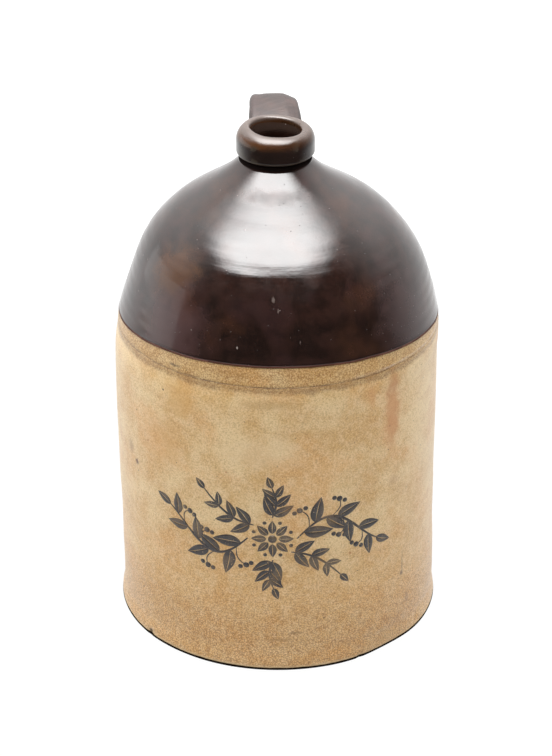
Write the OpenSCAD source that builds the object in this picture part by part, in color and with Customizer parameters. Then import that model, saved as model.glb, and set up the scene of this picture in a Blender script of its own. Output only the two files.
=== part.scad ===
// Two-gallon stoneware shoulder jug: a straight cylinder closed by a domed top,
// with a short neck, a rolled collar lip and a fluted strap handle at the back.
// Z is up, the origin is the middle of the base, and the handle stands towards +Y.

/* [Body] */
// Outside radius of the cylinder wall at its foot and at the seam
body_r = 106; // [90:1:130]
// Height of the seam between the wall and the dome
seam_z = 212; // [150:1:280]
// Thickness of the cylinder wall
wall_t = 9; // [6:0.5:12]
// How far the wall swells outwards at mid height
wall_swell = 0.6; // [0:0.1:3]
// Thickness of the floor
floor_t = 11; // [7:0.5:16]
// Radius of the rounded outer edge of the foot
foot_round = 1.5; // [0.5:0.5:4]
// How much wider the floor disc is at its underside than at its top
floor_mitre = 2; // [0:0.5:4]
// Radius of the clay coil that fillets the inside corner
corner_r = 12; // [4:1:20]

/* [Seam] */
// Inset of the trimmed band just below the seam
band_inset = 0.5; // [0.1:0.1:2]
// Height of the trimmed band
band_h = 5.5; // [3:0.5:12]
// Height over which the wall steps in to the band
band_step = 1.2; // [0.4:0.2:2]
// Depth of the scored line at the seam
score_d = 1; // [0.3:0.1:2]
// Half the height of the scored line
score_h = 0.9; // [0.3:0.1:2]
// Depth of the luting clay pressed into the seam from inside
lute_d = 4; // [2:0.5:5]
// Half the height of the luting clay
lute_h = 6; // [3:0.5:12]

/* [Dome] */
// Thickness of the dome
dome_t = 8; // [5:0.5:11]
// Lean of the dome's flank at the seam, in degrees from upright
flank_lean = 12.1; // [6:0.1:16]
// Radius of the arc of the dome's flank
flank_r = 316; // [220:2:440]
// Lean at which the flank turns into the shoulder, in degrees
shoulder_lean = 19.2; // [17:0.2:26]
// Radius of the arc of the shoulder
shoulder_r = 90; // [70:0.5:110]
// Lean of the straight cone above the shoulder, in degrees
cone_lean = 57.3; // [46:0.1:62]

/* [Neck and lip] */
// Radius of the bore of the throat and mouth
bore_r = 16.5; // [13:0.5:18]
// Wall of the neck tube, inside the dome's hole and inside the collar
tube_t = 4; // [3:0.25:5]
// Outside radius of the neck below the lip
neck_r = 23; // [22:0.25:24.5]
// Height of the neck from where it leaves the cone to the underside of the lip
neck_h = 8.3; // [4:0.1:20]
// Radius of the fillet between the neck and the cone
neck_fillet = 6; // [2:0.5:8]
// Radius of the rounded lower edge of the throat
throat_round = 4; // [1:0.5:6]
// Outside radius of the lip
lip_r = 25.3; // [24.8:0.1:30]
// Height of the lip
lip_h = 17.8; // [14:0.1:26]
// Height of the lip's rounded outer shoulder
lip_round_h = 9; // [5:0.5:11]
// Radius of the rounded inner edge of the mouth
mouth_round = 2; // [1:0.25:2.75]

/* [Handle] */
// Thickness of the strap
strap_t = 11; // [8:0.5:13]
// Width of the strap at the neck
strap_w_neck = 35; // [28:0.5:40]
// Width of the strap at its narrowest
strap_w = 29; // [24:0.5:34]
// Width of the strap at the shoulder
strap_w_foot = 32; // [26:0.5:38]
// Radius of the strap's rounded edges
strap_edge_r = 4; // [2.5:0.25:4]
// Depth of the two flutes along the strap's outer face
flute_d = 1; // [0.3:0.1:1.6]
// Width of each flute
flute_w = 5; // [3:0.25:6]
// Distance from the middle of a flute to the strap's edge
flute_in = 6.8; // [6.5:0.1:9]
// How far the strap's top lies below the top of the lip
strap_drop = 0.8; // [0:0.2:6]
// Distance from the axis to the strap's highest point
crest_y = 47.3; // [44:0.1:54]
// Radius of the strap's rise from the neck, along its middle
rise_r = 30; // [26:0.5:34]
// Angle at which the strap leaves the neck, in degrees above level
rise_a = 36; // [32:1:40]
// Angle through which the strap falls, in degrees
fall_a = 94; // [88:1:98]
// Lean of the shoulder where the strap's lower end comes to lie on it, in degrees
land_lean = 26; // [24:0.5:29]
// Depth of the strap's middle below the clay there
land_sink = 1.5; // [0.5:0.25:3]
// Extra width of the pressed clay at the neck
wad_w = 3; // [1:0.5:6]
// Extra thickness of the pressed clay at the neck
wad_t = 7; // [3:0.5:9]
// Length over which the pressed clay at the neck flares
wad_l = 12; // [8:1:20]
// Radius of the outward turn that lays the strap's lower end on the shoulder
toe_r = 45; // [35:1:60]
// Angle of that turn, in degrees
toe_a = 32; // [26:1:36]
// Extra width of the pressed end on the shoulder
toe_w = 10; // [4:0.5:16]
// Length of the thinned tip past the turn
toe_l = 14; // [8:0.5:20]
// Thickness of the tip at its end
toe_t = 3; // [2.5:0.25:5]

/* [Glaze] */
// Thickness of the brown slip glaze on the dome
glaze_t = 0.5; // [0.3:0.1:1]
// Thickness of the slip glaze inside the jug
lining_t = 0.5; // [0.3:0.1:1]
// Height of the dip line above the seam, measured on the axis
dip_h = 4; // [0:0.5:12]
// Tilt of the dip line, in degrees, higher at the front
dip_tilt = 4.8; // [0:0.1:6]

/* [Hidden] */

// Clay and glaze colours
stoneware = [0.79, 0.64, 0.42];
raw_clay = [0.70, 0.58, 0.42];
slip_brown = [0.27, 0.17, 0.15];
slip_dark = [0.20, 0.12, 0.09];

// Steps on the arcs of a profile, and round a whole turn
arc_n = 8;
shoulder_n = 20;
$fn = 128;

// Radii of the wall
wall_in_r = body_r - wall_t;
band_r = body_r - band_inset;
band_z = seam_z - band_h;

// Centres of the dome's two arcs. Each arc's angle is the lean of the surface there.
flank_c = [band_r - flank_r * cos(flank_lean), seam_z - flank_r * sin(flank_lean)];
shoulder_c = flank_c + (flank_r - shoulder_r) * [cos(shoulder_lean), sin(shoulder_lean)];

// The cone is the line on which a point's dot product with cone_n is cone_k
cone_n = [cos(cone_lean), sin(cone_lean)];
cone_k = shoulder_c * cone_n + shoulder_r;

// Neck and lip
tube_r = bore_r + tube_t;
lip_z = cone_z(neck_r, 0) + neck_h;
top_z = lip_z + lip_h;
crown_r = bore_r + mouth_round;
crown_c = [crown_r, top_z - lip_round_h];
crown_w = lip_r - crown_r;
crown_split_a = acos((tube_r - crown_r) / crown_w);
fillet_c = rounding_centre(neck_r, neck_fillet, -glaze_t);
throat_c = rounding_centre(bore_r, throat_round, dome_t + lining_t);
skirt_r = fillet_c[0] - neck_fillet * cone_n[0];

// Handle path, as [distance from the axis, height] of the strap's middle
crest_z = top_z - strap_drop - strap_t / 2;
rise_c = [crest_y, crest_z - rise_r];
land = shoulder_c + (shoulder_r - land_sink) * [cos(land_lean), sin(land_lean)];

// The fall and the straight leg below it are sized so that the turn at the lower end comes out
// at land. The reach is how far out they carry the strap, and the drop how far down.
toe_step = toe_r * [sin(fall_a) - sin(fall_a - toe_a), cos(fall_a) - cos(fall_a - toe_a)];
strap_reach = land[0] - crest_y - toe_step[0];
strap_down = crest_z - land[1] + toe_step[1];
leg_l = strap_down * sin(fall_a) / (1 - cos(fall_a)) - strap_reach;
fall_r = (strap_reach - leg_l * cos(fall_a)) / sin(fall_a);
fall_c = [crest_y, crest_z - fall_r];
toe_c = leg_point(leg_l) + toe_r * [sin(fall_a), cos(fall_a)];
rise_n = 12;
fall_n = 26;
leg_n = 4;
wad_n = 6;
toe_n = 8;
tip_n = 5;
face_n = 16;
edge_n = 4;
neck_wad_l = (rise_point(rise_a)[0] - throat_round) / cos(rise_a);

// Share of its width that the tip loses in its round end
tip_share = 0.75;

// Height of the lower end of the glaze shell before the dip line cuts it, as a share of the seam's height
coat_low_share = 0.5;
cut_reach = 2 * (body_r + seam_z);

// Points on an arc or an ellipse quarter, from angle a0 to a1
function arc(c, rw, rh, a0, a1, n = arc_n) =
    [for (i = [0:n]) let (a = a0 + (a1 - a0) * i / n) c + [rw * cos(a), rh * sin(a)]];

function reversed(p) = [for (i = [len(p) - 1:-1:0]) p[i]];

// Height of the cone at radius r, set in from the clay's outer face by d
function cone_z(r, d) = (cone_k - d - r * cone_n[0]) / cone_n[1];

// Centre of a rounding of radius q between the upright line at radius r and the cone set in by d
function rounding_centre(r, q, d) = [r + q, (cone_k - d + q - (r + q) * cone_n[0]) / cone_n[1]];

// Outer profile of the wall between two heights, d proud of the clay
function wall_r(z) = body_r + wall_swell * (1 - pow(2 * z / seam_z - 1, 2));
function wall_path(z0, d, n = arc_n) =
    concat([for (i = [0:n]) let (z = z0 + (band_z - band_step - z0) * i / n) [wall_r(z) + d, z]],
           [[band_r + d, band_z], [band_r + d, seam_z - score_h]]);

// Profile of the dome, set in by d, from height z0 up to radius r1
function flank_a(z0, d) = asin((z0 - flank_c[1]) / (flank_r - d));
function dome_path(z0, r1, d) =
    concat(arc(flank_c, flank_r - d, flank_r - d, flank_a(z0, d), shoulder_lean),
           arc(shoulder_c, shoulder_r - d, shoulder_r - d, shoulder_lean, cone_lean, shoulder_n),
           [[r1, cone_z(r1, d)]]);

// Profile of the inside of the jug, set in from the clay by d, from the axis to the neck tube
function inside_path(d) =
    concat([[0, floor_t + d]],
           arc([wall_in_r - corner_r, floor_t + corner_r], corner_r - d, corner_r - d, -90, 0),
           [[wall_in_r - d, seam_z - lute_h]],
           dome_path(seam_z + lute_h, tube_r, dome_t + d));

// Profile of the neck and the lip's outside, from the skirt's edge to the crown
function skirt_path() =
    concat([[skirt_r - glaze_t * cone_n[0], cone_z(skirt_r - glaze_t * cone_n[0], 0)]],
           arc(fillet_c, neck_fillet, neck_fillet, 180 + cone_lean, 180));
function lip_path() =
    concat([[neck_r, lip_z]],
           arc([neck_r, lip_z + lip_r - neck_r], lip_r - neck_r, lip_r - neck_r, -90, 0),
           arc(crown_c, crown_w, lip_round_h, 0, crown_split_a));
function crown_path() = arc(crown_c, crown_w, lip_round_h, crown_split_a, 90, edge_n);

// One slice across the strap, w wide and t thick, with a flute near each edge of its outer face.
// The flutes have their full depth where fluted is 1, and fade out towards 0. A slice thinner
// than the strap has smaller roundings at its edges.
function flute(x, w) =
    let (off = abs(abs(x) - (w / 2 - flute_in)) / (flute_w / 2))
    off < 1 ? flute_d * (1 + cos(180 * off)) / 2 : 0;
function strap_slice(w, t, fluted = 1) =
    let (r = strap_edge_r * min(1, t / strap_t), x = w / 2 - r, y = t / 2 - r,
         edge = arc([x, y], r, r, 0, 90, edge_n))
    concat([for (i = [0:face_n]) let (u = x * (1 - 2 * i / face_n)) [u, t / 2 - fluted * flute(u, w)]],
           [for (i = [edge_n - 1:-1:0]) [-edge[i][0], edge[i][1]]],
           [for (p = edge) [-p[0], -p[1]]],
           [for (i = [edge_n:-1:0]) [edge[i][0], -edge[i][1]]],
           [for (i = [0:edge_n - 1]) edge[i]]);

// A slice set square to the path at p, where the path climbs at angle a
function placed(slice, p, a) =
    [for (s = slice) [s[0], p[0] - s[1] * sin(a), p[1] + s[1] * cos(a)]];

function ease(u) = u * u * (3 - 2 * u);
function rise_point(a) = rise_c + rise_r * [-sin(a), cos(a)];
function fall_point(a) = fall_c + fall_r * [sin(a), cos(a)];
function leg_point(l) = fall_point(fall_a) + l * [cos(fall_a), -sin(fall_a)];
function strap_slices() =
    concat([for (i = [0:rise_n - 1])
               let (u = i / rise_n)
               placed(strap_slice(strap_w + (strap_w_neck - strap_w) * ease(1 - u), strap_t),
                      rise_point(rise_a * (1 - u)), rise_a * (1 - u))],
           [for (i = [0:fall_n])
               placed(strap_slice(strap_w, strap_t), fall_point(fall_a * i / fall_n),
                      -fall_a * i / fall_n)],
           [for (i = [1:leg_n])
               let (u = i / leg_n)
               placed(strap_slice(strap_w + (strap_w_foot - strap_w) * ease(u), strap_t),
                      leg_point(leg_l * u), -fall_a)]);

// Slices of the pressed clay that carries the strap on into the neck, flaring as it goes
function flare(l) = pow(min(1, l / wad_l), 2);
function neck_wad_slices() =
    [for (i = [wad_n:-1:0])
        let (l = neck_wad_l * i / wad_n, f = flare(l),
             p = rise_point(rise_a) - l * [cos(rise_a), sin(rise_a)])
        placed(strap_slice(strap_w_neck + wad_w * f, strap_t + wad_t * f, 1 - f),
               p + wad_t / 2 * f * [sin(rise_a), -cos(rise_a)], rise_a)];

// Slices of the strap's lower end, which turns outwards on to the shoulder and thins to a round tip
function toe_point(a) = toe_c - toe_r * [sin(fall_a - a), cos(fall_a - a)];
function tip_w(u) = (strap_w_foot + toe_w) * sqrt(1 - tip_share * pow(u, 3));
function toe_slices() =
    concat([for (i = [0:toe_n])
               let (u = i / toe_n)
               placed(strap_slice(strap_w_foot + toe_w * ease(u), strap_t, 1 - ease(u)),
                      toe_point(toe_a * u), toe_a * u - fall_a)],
           [for (i = [1:tip_n])
               let (u = i / tip_n, a = toe_a - fall_a)
               placed(strap_slice(tip_w(u), strap_t + (toe_t - strap_t) * u, 0),
                      toe_point(toe_a) + toe_l * u * [cos(a), sin(a)], a)]);

// A closed solid through a list of slices that have the same number of points.
// Each end is closed by a fan about the middle of its slice.
function slice_centre(slice) = [for (s = slice) 1] * slice / len(slice);
module loft(slices) {
    n = len(slices[0]);
    m = len(slices);
    polyhedron(
        points = concat([for (s = slices) each s],
                        [slice_centre(slices[0]), slice_centre(slices[m - 1])]),
        faces = concat(
            [for (i = [0:m - 2], j = [0:n - 1])
                [i * n + j, i * n + (j + 1) % n, (i + 1) * n + j]],
            [for (i = [0:m - 2], j = [0:n - 1])
                [(i + 1) * n + j, i * n + (j + 1) % n, (i + 1) * n + (j + 1) % n]],
            [for (j = [0:n - 1]) [(j + 1) % n, j, m * n]],
            [for (j = [0:n - 1]) [(m - 1) * n + j, (m - 1) * n + (j + 1) % n, m * n + 1]]));
}

// The clay of the dome, neck and lip filled to the axis, which trims the pressed clay
module clay_core() {
    rotate_extrude()
        polygon(concat([[0, seam_z], [band_r, seam_z]],
                       dome_path(seam_z + score_h, skirt_path()[0][0], 0), skirt_path(),
                       lip_path(), crown_path(), [[0, top_z]]));
}

module base_disc() {
    color(raw_clay)
        rotate_extrude()
            polygon([[0, 0], [wall_in_r + floor_mitre, 0], [wall_in_r, floor_t], [0, floor_t]]);
}

module body_wall() {
    color(stoneware)
        rotate_extrude()
            polygon(concat([[wall_in_r + floor_mitre, 0]],
                           arc([body_r - foot_round, foot_round], foot_round, foot_round, -90, 0),
                           wall_path(foot_round + band_step, 0),
                           [[band_r - score_d, seam_z], [wall_in_r + lute_d, seam_z],
                            [wall_in_r, seam_z - lute_h], [wall_in_r, floor_t]]));
}

module corner_coil() {
    color(raw_clay)
        rotate_extrude()
            polygon(concat([[wall_in_r, floor_t]],
                           reversed(arc([wall_in_r - corner_r, floor_t + corner_r],
                                        corner_r, corner_r, -90, 0))));
}

module seam_lute() {
    color(raw_clay)
        rotate_extrude()
            polygon([[wall_in_r, seam_z - lute_h], [wall_in_r + lute_d, seam_z],
                     dome_path(seam_z + lute_h, tube_r, dome_t)[0]]);
}

module shoulder_dome() {
    color(stoneware)
        rotate_extrude()
            polygon(concat([[wall_in_r + lute_d, seam_z], [band_r - score_d, seam_z]],
                           dome_path(seam_z + score_h, tube_r, 0),
                           reversed(dome_path(seam_z + lute_h, tube_r, dome_t))));
}

module neck() {
    color(slip_brown)
        rotate_extrude()
            polygon(concat([[tube_r, cone_z(tube_r, 0)]],
                           skirt_path(), [[neck_r, lip_z], [tube_r, lip_z]], crown_path(),
                           arc([crown_r, top_z - mouth_round], mouth_round, mouth_round, 90, 180,
                               edge_n),
                           arc(throat_c, throat_round, throat_round, 180, 180 + cone_lean),
                           [[tube_r, cone_z(tube_r, dome_t + lining_t)]]));
}

module lip_collar() {
    color(slip_brown)
        rotate_extrude()
            polygon(concat([[tube_r, lip_z]], lip_path()));
}

module strap_handle() {
    color(slip_brown)
        loft(strap_slices());
}

module handle_neck_wad() {
    color(slip_brown)
        difference() {
            loft(neck_wad_slices());
            clay_core();
        }
}

module handle_shoulder_wad() {
    color(slip_brown)
        difference() {
            loft(toe_slices());
            clay_core();
        }
}

module dome_glaze_coat() {
    color(slip_brown)
        difference() {
            rotate_extrude()
                polygon(concat(wall_path(seam_z * coat_low_share, glaze_t),
                               dome_path(seam_z, skirt_r, -glaze_t),
                               reversed(dome_path(seam_z + score_h, skirt_path()[0][0], 0)),
                               [[band_r - score_d, seam_z]],
                               reversed(wall_path(seam_z * coat_low_share, 0))));
            translate([0, 0, seam_z + dip_h])
                rotate([-dip_tilt, 0, 0])
                    translate([-cut_reach / 2, -cut_reach / 2, -cut_reach])
                        cube(cut_reach);
            loft(neck_wad_slices());
            loft(toe_slices());
        }
}

module inner_glaze_lining() {
    color(slip_dark)
        rotate_extrude()
            polygon(concat(inside_path(0), reversed(inside_path(lining_t))));
}

base_disc();
body_wall();
corner_coil();
seam_lute();
shoulder_dome();
neck();
lip_collar();
strap_handle();
handle_neck_wad();
handle_shoulder_wad();
dome_glaze_coat();
inner_glaze_lining();
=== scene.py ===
# %% [markdown]
# # A two-tone stoneware jug
# The jug is a straight clay cylinder closed by a domed top. The top was dipped in a dark slip
# glaze, which runs brown to black and breaks to amber where it is thin, and the cylinder kept
# the buff colour of the clay. The lesson goes in the order in which a potter works: wall, dome,
# neck, lip, strap, and then decoration and finishes. The model of the solids is loaded first, so
# that every piece made here can take its place from it.

# %% Load the fixed frame
import math

import bmesh
import bpy
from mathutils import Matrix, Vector, noise
from mathutils.bvhtree import BVHTree


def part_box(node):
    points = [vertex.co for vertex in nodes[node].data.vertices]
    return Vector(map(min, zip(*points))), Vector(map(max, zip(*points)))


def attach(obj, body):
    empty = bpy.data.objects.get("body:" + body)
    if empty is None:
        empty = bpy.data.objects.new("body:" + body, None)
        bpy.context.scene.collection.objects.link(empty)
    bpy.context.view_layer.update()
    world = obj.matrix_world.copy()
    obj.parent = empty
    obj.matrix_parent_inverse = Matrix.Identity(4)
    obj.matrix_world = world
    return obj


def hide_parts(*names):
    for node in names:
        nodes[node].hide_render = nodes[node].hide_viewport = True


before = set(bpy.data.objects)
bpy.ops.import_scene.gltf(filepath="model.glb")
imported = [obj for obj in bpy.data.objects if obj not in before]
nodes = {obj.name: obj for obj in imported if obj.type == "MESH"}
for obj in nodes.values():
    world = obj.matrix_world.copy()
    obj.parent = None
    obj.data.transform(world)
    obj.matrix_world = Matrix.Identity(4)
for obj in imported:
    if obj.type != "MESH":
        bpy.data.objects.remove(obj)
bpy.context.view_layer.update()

# %% [markdown]
# A pot's surface is a surface of revolution, so one half outline says nearly everything. The
# outline's sizes are kept here once, in metres, and the places where pieces meet are read from
# the solids.

# %% Sizes of the outline
MM = 0.001
BODY_R = 106 * MM
WALL_T = 9 * MM
FLOOR_T = 11 * MM
WALL_SWELL = 0.6 * MM
SEAM_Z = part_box("shoulder_dome")[0].z
FLOOR_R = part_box("base_disc")[1].x
FOOT_ROUND = 1.1 * MM
BAND_INSET = 0.5 * MM
BAND_H = 13 * MM
SCORE_D = 0.45 * MM
SCORE_H = 0.7 * MM
DOME_T = 8 * MM
GLAZE_T = 0.5 * MM
FLANK_R = 316 * MM
SHOULDER_R = 90 * MM
FLANK_LEAN = math.radians(12.1)
SHOULDER_LEAN = math.radians(19.2)
CONE_LEAN = math.radians(57.3)
LIP_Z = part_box("lip_collar")[0].z
TOP_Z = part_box("neck")[1].z
LIP_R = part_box("lip_collar")[1].x
NECK_R = 23 * MM
NECK_FILLET = 1.5 * MM
FLARE_R = 42 * MM
FLARE_LEAN = math.radians(43)
BORE_R = 16.5 * MM
TUBE_R = 20.5 * MM
THROAT_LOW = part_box("neck")[0].z
THROAT_ROUND = 4 * MM
print("seam", SEAM_Z, "lip", round(LIP_Z, 4), "top", round(TOP_Z, 4))

# %% [markdown]
# The dome is two arcs and a cone, and near the neck a hollow arc flares upwards and ends in a small
# fillet under the lip. An arc's angle is also the lean of the surface there, so the arcs join
# smoothly where they share a lean. Setting every point in or out along that lean gives the inner
# face of the clay and the outer face of the glaze from the same few numbers.

# %% The dome's outline
def at(r, z):
    """A point of an outline: how far from the axis, and how high."""
    return Vector((r, z))


def ray(angle):
    """The direction at an angle above level."""
    return at(math.cos(angle), math.sin(angle))


band_r = BODY_R - BAND_INSET
flank_c = at(band_r - FLANK_R * math.cos(FLANK_LEAN), SEAM_Z - FLANK_R * math.sin(FLANK_LEAN))
shoulder_c = flank_c + (FLANK_R - SHOULDER_R) * ray(SHOULDER_LEAN)
cone_n = ray(CONE_LEAN)
cone_k = shoulder_c.dot(cone_n) + SHOULDER_R


def calm(value, low, high):
    """0 below low, 1 above high and a smooth step between."""
    share = min(1.0, max(0.0, (value - low) / (high - low)))
    return share * share * (3 - 2 * share)


def arc(centre, radius, start, end, steps):
    """Points [radius from the axis, height] along an arc between two angles."""
    angles = [start + (end - start) * i / steps for i in range(steps + 1)]
    return [centre + radius * ray(a) for a in angles]


def cone_z(r, inset=0.0):
    """Height of the dome's straight cone at radius r, set in from the clay's face."""
    return (cone_k - inset - r * cone_n.x) / cone_n.y


def dome_outline(low_z, top_r, inset, steps=26):
    """The dome's outline from a height up to a radius, set in (or out, if negative) by inset."""
    low = math.asin((low_z - flank_c.y) / (FLANK_R - inset))
    points = arc(flank_c, FLANK_R - inset, low, SHOULDER_LEAN, steps // 2)
    points += arc(shoulder_c, SHOULDER_R - inset, SHOULDER_LEAN, CONE_LEAN, steps)[1:]
    last = points[-1]
    for share in (0.2, 0.4, 0.6, 0.8, 1.0):
        r = last.x + (top_r - last.x) * share
        points.append(at(r, cone_z(r, inset)))
    return points


fillet_run = NECK_FILLET * (1 - math.cos(FLARE_LEAN))
flare_radius = (FLARE_R - NECK_R - fillet_run) / (math.cos(FLARE_LEAN) - cone_n.x)
flare_c = at(FLARE_R, cone_z(FLARE_R)) + flare_radius * cone_n
fillet_c = flare_c - (flare_radius - NECK_FILLET) * ray(FLARE_LEAN)
DRUM_Z = fillet_c.y + 0.5 * MM


def neck_outline(top_z, inset, steps=16):
    """The outline from the flare up the neck's side to a height, set in from the clay's face."""
    points = arc(flare_c, flare_radius + inset, math.pi + CONE_LEAN, math.pi + FLARE_LEAN, steps)
    points += arc(fillet_c, NECK_FILLET + inset, math.pi + FLARE_LEAN, math.pi, steps // 2)[1:]
    return points + [at(NECK_R - inset, top_z)]


def wall_r(z):
    """Radius of the wall's face, which swells at mid height and draws in under the seam."""
    swell = BODY_R + WALL_SWELL * (1 - (2 * z / SEAM_Z - 1) ** 2)
    return swell + (band_r - swell) * calm(z, SEAM_Z - BAND_H, SEAM_Z - 1.5 * MM)


def dome_r(z):
    """Radius of the dome's face at a height on its flank or shoulder."""
    flank_top = flank_c.y + FLANK_R * math.sin(SHOULDER_LEAN)
    centre, radius = (flank_c, FLANK_R) if z < flank_top else (shoulder_c, SHOULDER_R)
    return centre.x + math.sqrt(radius ** 2 - (z - centre.y) ** 2)


print("dome outline", len(dome_outline(SEAM_Z, TUBE_R, 0)), "points")

# %% [markdown]
# Nothing thrown by hand is quite true. The same gentle wander is given to every piece, so that
# they still fit each other: the jug's middle sways sideways by a millimetre on its way up, its
# girth varies, it is slightly oval, and shallow finger rings climb it in a spiral. The sways and
# girths are short lists of (height, amount) in millimetres. The mouth isn't level either, because
# the lip is thinner on one side, so a tilt grows towards the top, strongest at the mouth's edge.

# %% How the clay wanders from true
SWAYS = ((0, 0.9), (22, 1.2), (70, 0.4), (110, -0.3), (190, -0.5), (212, 0.8), (247, 1.6), (280, 0.1),
         (312, -1.3), (335, -0.9))
GIRTHS = ((0, 1.2), (4, 0.9), (14, -0.2), (41, -0.4), (67, -0.9), (98, -0.5), (150, 0))
OVAL = 0.25 * MM
OVAL_TURN = 0.6
FOOT_OVAL = 0.6 * MM
FOOT_OVAL_H = 12 * MM
RING_DEPTH = 0.10 * MM
RING_PITCH = 7 * MM
LUMP = 0.35 * MM
LUMP_SIZE = 70 * MM
ROUGH_FROM = (30 * MM, 60 * MM)
GIRTH_FROM = (90 * MM, 100 * MM)


def along(pairs, z):
    """The amount at a height, eased between given (height, amount) pairs."""
    height = z / MM
    amount = pairs[0][1]
    for (z0, v0), (z1, v1) in zip(pairs, pairs[1:]):
        if height > z0:
            amount = v0 + (v1 - v0) * calm(height, z0, z1)
    return amount * MM


def wander(co):
    """Where a point of the true round form lies on the hand-made one."""
    r = max(math.hypot(co.x, co.y), MM)
    angle = math.atan2(co.y, co.x)
    rough = OVAL * math.cos(2 * angle + OVAL_TURN)
    rough += FOOT_OVAL * math.cos(2 * angle) * (1 - calm(co.z, 0, FOOT_OVAL_H))
    rough += LUMP * noise.noise(co / LUMP_SIZE)
    ring = math.sin(math.tau * co.z / RING_PITCH + angle)
    rough += RING_DEPTH * ring * (0.5 + noise.noise(co / LUMP_SIZE * 2))
    out = calm(r, *ROUGH_FROM) * rough + calm(r, *GIRTH_FROM) * along(GIRTHS, co.z)
    share = 1 + out / r
    return Vector((co.x * share + along(SWAYS, co.z), co.y * share, co.z))


LEAN_MOUTH = math.radians(4.0)
LEAN_OUTSIDE = math.radians(0.8)
LEAN_Z = (LIP_Z - 2 * MM, TOP_Z - 1 * MM)
LEAN_R = (17 * MM, 24 * MM)
LIP_LUMP = 0.3 * MM
LIP_LUMP_SIZE = 13 * MM
LIP_LUMP_Z = (SEAM_Z + 108 * MM, LIP_Z)


def lean(co):
    """Tilts the mouth, makes the lip uneven and then lets it wander with the rest."""
    weight = calm(co.z, *LEAN_Z)
    grown = calm(co.z, *LIP_LUMP_Z)
    r = max(math.hypot(co.x, co.y), MM)
    tilt = LEAN_OUTSIDE + (LEAN_MOUTH - LEAN_OUTSIDE) * (1 - calm(r, *LEAN_R))
    lump = LIP_LUMP * noise.noise(co / LIP_LUMP_SIZE) * grown
    sunk = math.tan(tilt) * co.x * weight + lump * weight
    return wander(Vector((co.x * (1 + lump / r), co.y * (1 + lump / r), co.z - sunk)))


seam_front = wander(Vector((0, -BODY_R, SEAM_Z)))
print("the front of the seam wanders to", [round(v / MM, 2) for v in seam_front], "mm")

# %% [markdown]
# A spun piece starts as a closed half outline of edges. Blender's spin turns it round the axis
# and merges the last step into the first. Points that lie on the axis collapse into one, so the
# doubles are merged before the normals are set.

# %% Helpers that turn an outline into a piece
SPIN_STEPS = 256
MERGE = 0.002 * MM
SHARP = math.radians(40)


def spun(outline, steps=SPIN_STEPS, closed=True):
    """A bmesh of the outline, drawn with edges and turned once round the jug's axis."""
    bm = bmesh.new()
    verts = [bm.verts.new((p.x, 0, p.y)) for p in outline]
    for a, b in zip(verts, verts[1:] + verts[:1] if closed else verts[1:]):
        bm.edges.new((a, b))
    bmesh.ops.spin(bm, geom=bm.verts[:] + bm.edges[:], cent=(0, 0, 0), axis=(0, 0, 1), dvec=(0, 0, 0),
                   angle=math.tau, steps=steps, use_merge=True, use_duplicate=False)
    bmesh.ops.remove_doubles(bm, verts=bm.verts, dist=MERGE)
    bmesh.ops.recalc_face_normals(bm, faces=bm.faces)
    return bm


def shaped(bm, way):
    """Moves every point to where the hand-made pot has it."""
    for vert in bm.verts:
        vert.co = way(vert.co)


def piece(bm, name):
    """Turns a bmesh into a named object that is smooth except at its sharp edges."""
    for edge in bm.edges:
        if len(edge.link_faces) == 2:
            edge.smooth = edge.calc_face_angle(0) < SHARP
    for face in bm.faces:
        face.smooth = True
    mesh = bpy.data.meshes.new(name)
    bm.to_mesh(mesh)
    bm.free()
    made = bpy.data.objects.new(name, mesh)
    bpy.context.scene.collection.objects.link(made)
    print(name, "has", len(mesh.polygons), "faces")
    return made


def evenly(points, gap):
    """The same outline with long straight stretches cut into steps of at most gap."""
    out = []
    for a, b in zip(points, points[1:]):
        count = max(1, math.ceil((b - a).length / gap))
        out += [a + (b - a) * i / count for i in range(count)]
    return out + [points[-1]]


# %% [markdown]
# The wall and its floor are one thrown pot. The foot is slightly rounded where the wet clay was
# cut from the wheel, the wall swells a little, and it draws in under the seam. The outline goes up
# the outside and down the inside. The lower right of the foot slumped a little on the kiln shelf,
# and a few chips were knocked out of the edge, so points near those places are pushed in after the
# spin.

# %% Wall and floor
ROWS = 92
ROW_H = 2.4 * MM
INNER_ROW = 12 * MM
FLOOR_ROW = 8 * MM
FOOT_FLAT = 2 * MM
SCORE_SIDE = 0.35 * SCORE_D
SCORE_RISE = 0.45 * SCORE_H
SKIN_DEPTH = 5 * MM
CHIP_FLAT = 0.35
CHIP_ROUGH = 0.35
CHIP_GRAIN = 900
# Each chip is angle, height, radius and depth, in degrees and millimetres.
CHIPS = ((-146, 3, 3.4, 1.2), (-32, 9, 3.2, 0.9), (-38, 24, 2.6, 0.5), (-62, 1.5, 3, 0.8), (40, 2, 4, 1),
         (148, 3, 3, 0.8))
SLUMP_ANGLE = -50
SLUMP_SPREAD = 12
SLUMP = 1.9 * MM
SLUMP_H = 22 * MM


def dent(co):
    """How far the slump and the chips push a point of the wall inwards."""
    angle = math.degrees(math.atan2(co.y, co.x))
    r = math.hypot(co.x, co.y)
    aside = (angle - SLUMP_ANGLE) / SLUMP_SPREAD
    depth = SLUMP * math.exp(-(aside ** 2)) * (1 - calm(co.z, 0, SLUMP_H))
    for chip_angle, chip_z, chip_r, chip_d in CHIPS:
        away = math.hypot(math.radians(angle - chip_angle) * r, co.z - chip_z * MM) / (chip_r * MM)
        rough = CHIP_ROUGH * noise.noise(co * CHIP_GRAIN)
        depth += chip_d * MM * (1 - calm(away + rough, CHIP_FLAT, 1.0))
    return depth


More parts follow.
